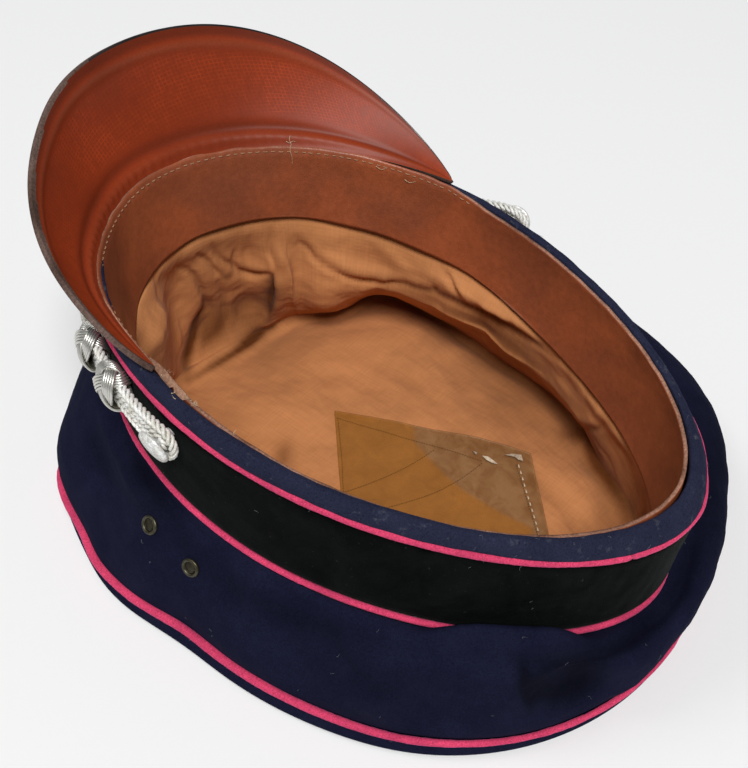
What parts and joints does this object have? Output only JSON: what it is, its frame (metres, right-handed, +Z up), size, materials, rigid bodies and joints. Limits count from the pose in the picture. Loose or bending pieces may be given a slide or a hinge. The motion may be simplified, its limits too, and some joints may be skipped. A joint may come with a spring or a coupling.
{
  "type": "peaked cap",
  "caption": "Soft peaked uniform cap lying upside down on its crown, with piped velvet band, stiff peak, chin cord, leather sweatband and open hollow for the head.",
  "frame": {"origin": "on the flat face of the crown that the cap lies on, straight below the middle of the head opening", "axes": "+Z up from the floor, out of the head opening; -Y to the front, where the peak is; +X to the wearer's right"},
  "size_m": [0.2366, 0.2537, 0.1589],
  "materials": {
    "navy_wool": "milled wool cloth, very matt",
    "pink_wool": "wool cloth over cord, matt",
    "black_velvet": "short velvet pile, worn in places",
    "brown_leather": "smooth leather, half gloss, scuffed",
    "tan_cotton": "plain woven cotton, stained",
    "clear_celluloid": "clear, yellowed, glossy",
    "red_fibre": "pressed fibre with a fine checked grain, half gloss",
    "silver_cord": "braided aluminium thread",
    "silver_button": "fine grained, matt",
    "aged_metal": "dulled grey-green paint over metal"
  },
  "bodies": {
    "root": {"crown_top": "navy_wool", "crown_piping": "pink_wool", "crown_side": "navy_wool", "vent_right_front": "aged_metal", "vent_right_rear": "aged_metal", "vent_left_rear": "aged_metal", "vent_left_front": "aged_metal", "band": "black_velvet", "band_piping_lower": "pink_wool", "band_piping_upper": "pink_wool", "rim_binding": "navy_wool", "sweatband": "brown_leather", "lining_side": "tan_cotton", "lining_tip": "tan_cotton", "sweat_shield": "clear_celluloid", "peak": "red_fibre", "chin_cord": "silver_cord", "cord_slide_right_front": "silver_cord", "cord_slide_right_rear": "silver_cord", "cord_slide_left_rear": "silver_cord", "cord_slide_left_front": "silver_cord", "button_right": "silver_button", "button_left": "silver_button"}
  },
  "joints": []
}
